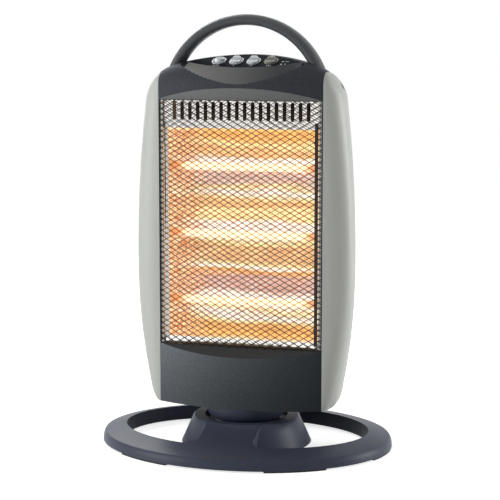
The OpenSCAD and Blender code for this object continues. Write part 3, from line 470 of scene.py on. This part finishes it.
# ---- Making pieces ----
def placed(name, bm, finish):
    """Object from a bmesh."""
    mesh = bpy.data.meshes.new(name)
    bm.to_mesh(mesh)
    bm.free()
    mesh.materials.append(finish.material)
    made = bpy.data.objects.new(name, mesh)
    bpy.context.scene.collection.objects.link(made)
    return made


def piece(name, bm, body, finish, smooth=False):
    """Object from a bmesh, riding on a body."""
    made = placed(name, bm, finish)
    for face in made.data.polygons:
        face.use_smooth = smooth
    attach(made, body)
    return made


def rectangle(bm, wide, tall, middle, segments=1):
    """Flat rectangle in the XY plane; segments divide its width."""
    verts = bmesh.ops.create_grid(bm, x_segments=segments, y_segments=1, size=0.5)["verts"]
    bmesh.ops.scale(bm, verts=verts, vec=(wide, tall, 1))
    bmesh.ops.translate(bm, verts=verts, vec=middle)


def crop(bm, half, low, high):
    """Cuts a flat mesh in the XY plane to a rectangle."""
    for point, normal in (((half, 0, 0), (1, 0, 0)), ((-half, 0, 0), (-1, 0, 0)),
                          ((0, high, 0), (0, 1, 0)), ((0, low, 0), (0, -1, 0))):
        bmesh.ops.bisect_plane(bm, geom=bm.verts[:] + bm.edges[:] + bm.faces[:],
                               plane_co=point, plane_no=normal, clear_outer=True)


def bow(bm, behind=0.0):
    """Turns a flat XY mesh upright and bends it to the guard's curve."""
    for vert in bm.verts:
        x, z = vert.co.x, vert.co.y
        vert.co = Vector((x, GUARD_MID_Y - math.sqrt(GUARD_R ** 2 - x * x) + behind, z))


def wall(bm, thickness):
    """Gives a sheet its thickness, with its faces outwards."""
    bmesh.ops.recalc_face_normals(bm, faces=bm.faces[:])
    bmesh.ops.solidify(bm, geom=bm.faces[:], thickness=thickness)
    bmesh.ops.recalc_face_normals(bm, faces=bm.faces[:])


# ---- Guard ----
def diamond_guard():
    """Expanded sheet: a grid on its corner, drawn out, with each cell opened."""
    cells, wide, tall, strand, sheet = 66, 0.0115, 0.0067, 0.00044, 0.0007
    inset, behind = 0.0004, 0.0002
    bm = bmesh.new()
    bmesh.ops.create_grid(bm, x_segments=cells, y_segments=cells, size=0.5)
    bmesh.ops.rotate(bm, verts=bm.verts, matrix=Matrix.Rotation(math.pi / 4, 3, "Z"))
    step = math.sqrt(2) / cells
    bmesh.ops.scale(bm, verts=bm.verts, vec=(wide / step, tall / step, 1))
    bmesh.ops.translate(bm, verts=bm.verts, vec=(0, GUARD_MIDDLE, 0))
    crop(bm, GUARD_HALF + wide, GUARD_BOTTOM - tall, GUARD_TOP + tall)
    openings = bm.faces[:]
    bmesh.ops.inset_individual(bm, faces=openings, thickness=strand, use_even_offset=True)
    bmesh.ops.delete(bm, geom=openings, context="FACES_ONLY")
    crop(bm, GUARD_HALF - inset, GUARD_BOTTOM + inset, GUARD_TOP - inset)
    bow(bm, behind)
    wall(bm, sheet)
    return piece("diamond_guard", bm, "head", guard_painted_glow())


def guard_rim():
    """Narrow folded edge round the diamonds."""
    width, fold = 0.0007, 0.0012
    bm = bmesh.new()
    rectangle(bm, 2 * GUARD_HALF, GUARD_TALL, (0, GUARD_MIDDLE, 0), 40)
    inner = bm.faces[:]
    bmesh.ops.inset_region(bm, faces=inner, thickness=width, use_boundary=True,
                           use_even_offset=True)
    bmesh.ops.delete(bm, geom=inner, context="FACES")
    bow(bm)
    wall(bm, fold)
    piece("guard_rim", bm, "head", guard_paint)


def guard_flanges():
    """Bright strips that the guard's sides seat on."""
    width, short_by, middle_x, behind, sheet = 0.0041, 0.002, 0.09925, 0.0017, 0.0005
    bm = bmesh.new()
    for side in (-1, 1):
        rectangle(bm, width, GUARD_TALL - short_by, (side * middle_x, GUARD_MIDDLE, 0), 2)
    bow(bm, behind)
    wall(bm, sheet)
    piece("guard_flanges", bm, "head", galvanised)


# ---- Screws ----
def only_verts(geometry):
    return [item for item in geometry if isinstance(item, bmesh.types.BMVert)]


def cross_head(bm, shank):
    """Domed head of unit radius and height with a cross recess, and its shank below."""
    inner, pinch, dome, arm, recess, neck = 0.5, 0.8, 0.45, 0.1, 0.55, 0.45
    grid = bmesh.ops.create_grid(bm, x_segments=5, y_segments=5, size=1)["verts"]
    for vert in grid:
        x, y = vert.co.x, vert.co.y
        square = max(abs(x), abs(y))
        if square > inner:
            vert.co = vert.co.normalized() * square
        else:
            vert.co.x, vert.co.y = x * pinch, y * pinch
        vert.co.z = 1 - dome * (vert.co.x ** 2 + vert.co.y ** 2)
    own, arms = set(grid), []
    for face in bm.faces:
        middle = face.calc_center_median()
        near, far = sorted((abs(middle.x), abs(middle.y)))
        if set(face.verts) <= own and far < inner and near < arm:
            arms.append(face)
    edge = [side for side in bm.edges if side.is_boundary and set(side.verts) <= own]
    for vert in only_verts(bmesh.ops.extrude_edge_only(bm, edges=edge)["geom"]):
        vert.co.z = 0
    pit = only_verts(bmesh.ops.extrude_face_region(bm, geom=arms)["geom"])
    bmesh.ops.delete(bm, geom=arms, context="FACES_ONLY")
    bmesh.ops.translate(bm, verts=pit, vec=(0, 0, -recess))
    stem = bmesh.ops.create_cone(bm, cap_ends=True, segments=16, radius1=neck, radius2=neck,
                                 depth=shank)["verts"]
    bmesh.ops.translate(bm, verts=stem, vec=(0, 0, -shank / 2))


def screw_heads(name, node, body, places, radius, height, shank):
    """A node's screws with cross recesses. Each place is a matrix whose Z leaves the head."""
    bm = bmesh.new()
    for place in places:
        before = set(bm.verts)
        cross_head(bm, shank / height)
        fresh = [vert for vert in bm.verts if vert not in before]
        bmesh.ops.transform(bm, matrix=place @ Matrix.Diagonal((radius, radius, height, 1)),
                            verts=fresh)
    bmesh.ops.recalc_face_normals(bm, faces=bm.faces[:])
    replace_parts(piece(name, bm, body, zinc), node)


def turned(place, degrees, axis):
    return Matrix.Translation(place) @ Matrix.Rotation(math.radians(degrees), 4, axis)


# ---- Smooth copies of mouldings ----
def refined(name, node, body, slot, finish, angle=32, edge=0.0, part=None, regions=()):
    """Merged copy of a node, smooth up to an angle in degrees, with softened edges.

    part gives a face its region, whose finish is in regions: it is smooth only within one."""
    merge, bevel_angle = 0.00002, 40
    bm = bmesh.new()
    bm.from_mesh(nodes[node].data)
    bmesh.ops.remove_doubles(bm, verts=bm.verts[:], dist=merge)
    for side in bm.edges:
        closed = len(side.link_faces) == 2
        side.smooth = closed and side.calc_face_angle(0) < math.radians(angle)
        if part and closed:
            first, second = (part(face) for face in side.link_faces)
            if first or second:
                side.smooth = first == second
    for face in bm.faces:
        face.material_index = part(face) if part else PLAIN
    made = piece(name, bm, body, finish, smooth=True)
    for region in regions:
        made.data.materials.append(region.material)
    stored = made.data.attributes.get("custom_normal")
    if stored:
        made.data.attributes.remove(stored)
    if edge:
        soft = made.modifiers.new("soft_edge", "BEVEL")
        soft.width, soft.segments = edge, 3
        soft.limit_method, soft.angle_limit = "ANGLE", math.radians(bevel_angle)
    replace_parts(made, node)
    return made


def forward_tilt(face):
    """How far a face leans to the front, in radians: 0 looks up, and half pi looks ahead."""
    return math.atan2(-face.normal.y, face.normal.z)


def scoop_dip(x):
    """How steeply the scoop falls at x: steepest in the middle."""
    return PANEL_TILT + SCOOP_TILT * max(1 - (abs(x) / SCOOP_HALF) ** 1.7, 0)


def hood_part(face):
    """The hood's regions, told by where a face is and how it tilts."""
    brow_low, brow_high, brow_back, brow_tilt = 0.421, 0.445, -0.026, math.radians(105)
    front_top, scoop_back, tip_from, tip_to = 0.44, -0.018, -0.0045, 0.0035
    flat, near_dip = 0.01, 0.055
    middle, tilt = face.calc_center_median(), forward_tilt(face)
    if brow_low < middle.z < brow_high and middle.y < brow_back and tilt > brow_tilt:
        return BROW
    if middle.z < front_top:
        return PLAIN
    if abs(tilt - PANEL_TILT) < flat and abs(face.normal.x) < flat:
        return PANEL
    if middle.y > scoop_back or abs(tilt - scoop_dip(middle.x)) > near_dip:
        return PLAIN
    past_end = abs(middle.x) - SCOOP_HALF
    return SCOOP if past_end < tip_from else TIP if past_end < tip_to else PLAIN


def even_scoop(mesh):
    """Shades the scoop as one smooth surface."""
    normals = [(0, 0, 0)] * len(mesh.loops)
    for face in mesh.polygons:
        if face.material_index in (SCOOP, TIP):
            for corner in face.loop_indices:
                dip = scoop_dip(mesh.vertices[mesh.loops[corner].vertex_index].co.x)
                normals[corner] = (0, -math.sin(dip), math.cos(dip))
    mesh.normals_split_custom_set(normals)


def sill_part(face):
    """The crescent ledge under the guard."""
    back, low, least, most = -0.02, 0.1, math.radians(10), math.radians(80)
    middle = face.calc_center_median()
    ahead = middle.y < back and middle.z > low
    return SILL if ahead and least < forward_tilt(face) < most else PLAIN


def opening_part(face):
    """The walls of the stand's openings that look inwards, which are painted darker as shade.
    """
    collar_r, ring_top, slope = 0.085, 0.04, 0.35
    middle, normal = face.calc_center_median(), face.normal
    inwards = normal.x * middle.x + normal.y * middle.y < 0
    upright = abs(normal.z) < slope
    outer = math.hypot(middle.x, middle.y) > collar_r and middle.z < ring_top
    return OPENING if outer and inwards and upright else PLAIN


# ---- Switch panel ----
def panel_place(x, back, up):
    """Place on the switch panel, back from its front edge."""
    return Matrix.Translation((0, PANEL_Y, PANEL_Z)) @ Matrix.Rotation(PANEL_TILT, 4, "X") \
        @ Matrix.Translation((x, back, up))


def panel_marks():
    """Plain marks: an arrow pair under the first switch, bars under the others, two dots."""
    proud, under, rows = 0.0001, 0.0058, (0.0105, 0.0195)
    line, short, tall, gap = 0.0009, 0.0026, 0.0030, 0.0022
    arrow_line, arrow_x, arrow_r = 0.0046, 0.0031, 0.0014
    dot_x, dot_r, single_x, pair_x, pair_half = 0.0485, 0.0013, 0.0535, 0.0537, 0.0011
    bm = bmesh.new()

    def bar(x, back, wide, deep):
        verts = bmesh.ops.create_grid(bm, x_segments=1, y_segments=1, size=0.5)["verts"]
        bmesh.ops.transform(bm, matrix=panel_place(x, back, proud)
                            @ Matrix.Diagonal((wide, deep, 1, 1)), verts=verts)

    def disc(x, back, radius, corners, turn=0.0):
        verts = bmesh.ops.create_circle(bm, cap_ends=True, radius=radius,
                                        segments=corners)["verts"]
        bmesh.ops.transform(bm, matrix=panel_place(x, back, proud)
                            @ Matrix.Rotation(turn, 4, "Z"), verts=verts)

    for switch in range(4):
        x = (switch - 1.5) * SWITCH_PITCH + SWITCH_X
        if switch == 0:
            bar(x, under, arrow_line, line)
            for side in (-1, 1):
                disc(x + side * arrow_x, under, arrow_r, 3, -side * math.pi / 2)
        for stroke in range(switch):
            bar(x + (stroke - (switch - 1) / 2) * gap, under, line, short)
    for back in rows:
        disc(dot_x, back, dot_r, 20)
    bar(single_x, rows[0], line, tall)
    for side in (-1, 1):
        bar(pair_x + side * pair_half, rows[1], line, tall)
    wall(bm, proud)
    piece("panel_marks", bm, "head", mark_paint)


# ---- The heater's pieces ----
refined("left_panel_moulding", "side_panel_left", "head", "silver_plastic", silver, angle=40)
refined("right_panel_moulding", "side_panel_right", "head", "silver_plastic", silver, angle=40)
# The scoop: painted light, paler on the left and darker on the right.
scoop_painted_light = painted_light_satin("scoop_facet_painted_light", linear(150, 151, 149), linear(33, 35, 42), half=0.06)
# The brow: painted light, paler than the slate and a little paler to the left.
brow_painted_light = painted_light_satin("brow_facet_painted_light", linear(134, 137, 137), linear(120, 123, 124), half=0.1)
hood = refined("hood_moulding", "top_cover", "head", "slate_plastic", slate, angle=20,
               part=hood_part, regions=(panel_slate, scoop_painted_light, brow_painted_light, slate))
even_scoop(hood.data)
# The bottom cover: painted light, paler at the upper left and darker towards the lower right.
skirt_painted_light = painted_light_satin("slate_skirt_painted_light", linear(110, 116, 121), linear(43, 50, 56), half=0.1,
                    flake=0.18, low=0.62)
sill_satin = painted_light_satin("sill_facet", linear(62, 63, 64), linear(60, 61, 62), half=0.1)
refined("bottom_moulding", "bottom_cover", "head", "slate_plastic", skirt_painted_light, angle=20,
        part=sill_part, regions=(sill_satin,))
refined("handle_arch", "handle", "head", "slate_plastic", handle_slate, angle=50)
refined("stand_moulding", "base_shell", "base", "stand_plastic", stand, angle=26,
        part=opening_part, regions=(opening_painted_shade,))
for number in (1, 2, 3, 4):
    tone = ("switch_dark", switch_dark) if number == 4 else ("switch_silver", switch_silver)
    refined("rocker_cap_%d" % number, "rocker_%d" % number, "rocker_%d" % number, *tone,
            edge=0.0006)
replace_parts(diamond_guard(), "guard")
guard_rim()
guard_flanges()
panel_marks()
screw_heads("rear_cross_screws", "rear_screws", "head",
            [turned((side * REAR_SCREW_X, REAR_SCREW_Y, z), -90, "X")
             for side in (-1, 1) for z in REAR_SCREW_ZS],
            radius=0.0035, height=0.0021, shank=0.005)
screw_heads("panel_cross_screws", "panel_screws", "head",
            [turned((side * PANEL_SCREW_X, PANEL_SCREW_Y, PANEL_SCREW_Z), side * 90, "Y")
             for side in (-1, 1)],
            radius=0.004, height=0.0024, shank=0.010)
screw_heads("base_cross_screws", "base_screws", "base",
            [turned((BASE_SCREW_R * math.cos(math.radians(turn)),
                     BASE_SCREW_R * math.sin(math.radians(turn)), BASE_SCREW_Z), 180, "X")
             for turn in BASE_SCREW_TURNS],
            radius=0.0025, height=0.0015, shank=0.012)


# ---- Stage ----
def shown_white(tree):
    """1 for rays that show the background: from the camera, a mirror or glass."""
    path = tree.nodes.new("ShaderNodeLightPath")
    level = path.outputs["Is Camera Ray"]
    for other in ("Is Glossy Ray", "Is Transmission Ray"):
        most = tree.nodes.new("ShaderNodeMath")
        most.operation = "MAXIMUM"
        tree.links.new(level, most.inputs[0])
        tree.links.new(path.outputs[other], most.inputs[1])
        level = most.outputs[0]
    return level


def studio_floor():
    """Pale floor that keeps the heater's shadow and grows whiter further out."""
    reach, half = (0.3, 1.4), 6
    finish = Finish("studio_floor", linear(244, 244, 244), 0.9, specular=0.0)
    finish.set("Emission Color", (1, 1, 1, 1))
    distance = finish.node("ShaderNodeVectorMath", operation="LENGTH")
    finish.link(finish.place, distance.inputs[0])
    lift = finish.remap(distance.outputs["Value"], 0.72, 0.95, reach)
    finish.feed("Emission Strength", finish.product(lift, shown_white(finish.tree)))
    bm = bmesh.new()
    bmesh.ops.create_grid(bm, x_segments=1, y_segments=1, size=half)
    placed("floor", bm, finish)


def studio_world():
    """White where it shows, and a low even light elsewhere."""
    made = bpy.data.worlds.new("studio")
    made.use_nodes = True
    tree = made.node_tree
    background = tree.nodes["Background"]
    background.inputs["Color"].default_value = (1, 1, 1, 1)
    level = tree.nodes.new("ShaderNodeMapRange")
    level.inputs["To Min"].default_value = 0.05
    level.inputs["To Max"].default_value = 1.0
    tree.links.new(shown_white(tree), level.inputs["Value"])
    tree.links.new(level.outputs["Result"], background.inputs["Strength"])
    bpy.context.scene.world = made


def area_light(name, turn, distance, height, power, size):
    """Soft light aimed at the heater; turn is in degrees, to the right of the front."""
    data = bpy.data.lights.new(name, "AREA")
    data.energy = power
    data.shape = "RECTANGLE"
    data.size, data.size_y = size
    light = bpy.data.objects.new(name, data)
    angle = math.radians(turn)
    light.location = (distance * math.sin(angle), -distance * math.cos(angle), height)
    aim = Vector((0, 0, 0.27)) - light.location
    light.rotation_euler = aim.to_track_quat("-Z", "Y").to_euler()
    light.visible_camera = False
    bpy.context.scene.collection.objects.link(light)


studio_floor()
studio_world()
area_light("key", turn=-55, distance=2.1, height=0.4, power=30, size=(0.7, 1.4))
area_light("rim", turn=105, distance=2.1, height=0.35, power=32, size=(0.7, 1.2))
area_light("back", turn=228, distance=1.7, height=1.5, power=22, size=(1.2, 1.2))
area_light("top", turn=0, distance=0.4, height=1.9, power=5, size=(1.0, 1.0))

camera_data = bpy.data.cameras.new("camera")
camera_data.sensor_width = 36
camera_data.lens = 116.487
camera = bpy.data.objects.new("camera", camera_data)
camera.location = (0.5478, -1.8748, 0.5134)
camera.rotation_euler = (math.radians(82.001), 0, math.radians(16.161))
bpy.context.scene.collection.objects.link(camera)
bpy.context.scene.camera = camera
bpy.context.scene.view_settings.view_transform = "Standard"
